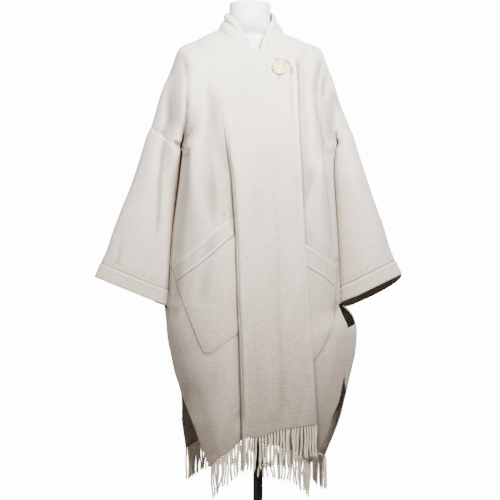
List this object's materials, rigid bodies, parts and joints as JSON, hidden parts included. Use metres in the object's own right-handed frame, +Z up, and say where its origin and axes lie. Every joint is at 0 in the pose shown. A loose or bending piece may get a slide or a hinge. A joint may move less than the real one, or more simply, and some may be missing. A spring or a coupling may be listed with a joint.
{
  "type": "fringed wool cape coat on a limbless dress form with a stand",
  "caption": "Wide-sleeved wool cape coat with a standing collar, lapped front closed by a large button, slanted patch pockets and fringed hems, standing on a headless dress form.",
  "frame": {"origin": "on the floor, under the axis of the stand's pole, in the middle of the foot's underside", "axes": "+Z up, the front of the cape faces -Y, +X towards the wearer's left side"},
  "size_m": [0.779, 0.3678, 1.499],
  "materials": {
    "wool_cloth": "ecru boiled wool, soft nap",
    "wool_fringe": "ecru twisted wool cords",
    "button": "ivory, half gloss",
    "form": "white, matt",
    "stand": "black, half gloss"
  },
  "bodies": {
    "root": {"front_right": "wool_cloth", "front_left": "wool_cloth", "back": "wool_cloth", "sleeve_right": "wool_cloth", "sleeve_left": "wool_cloth", "collar": "wool_cloth", "pocket_right": "wool_cloth", "pocket_left": "wool_cloth", "fringe_front_right": "wool_fringe", "fringe_front_left": "wool_fringe", "fringe_back": "wool_fringe", "button": "button", "dress_form": "form", "stand_pole": "stand", "stand_base": "stand"}
  },
  "joints": []
}
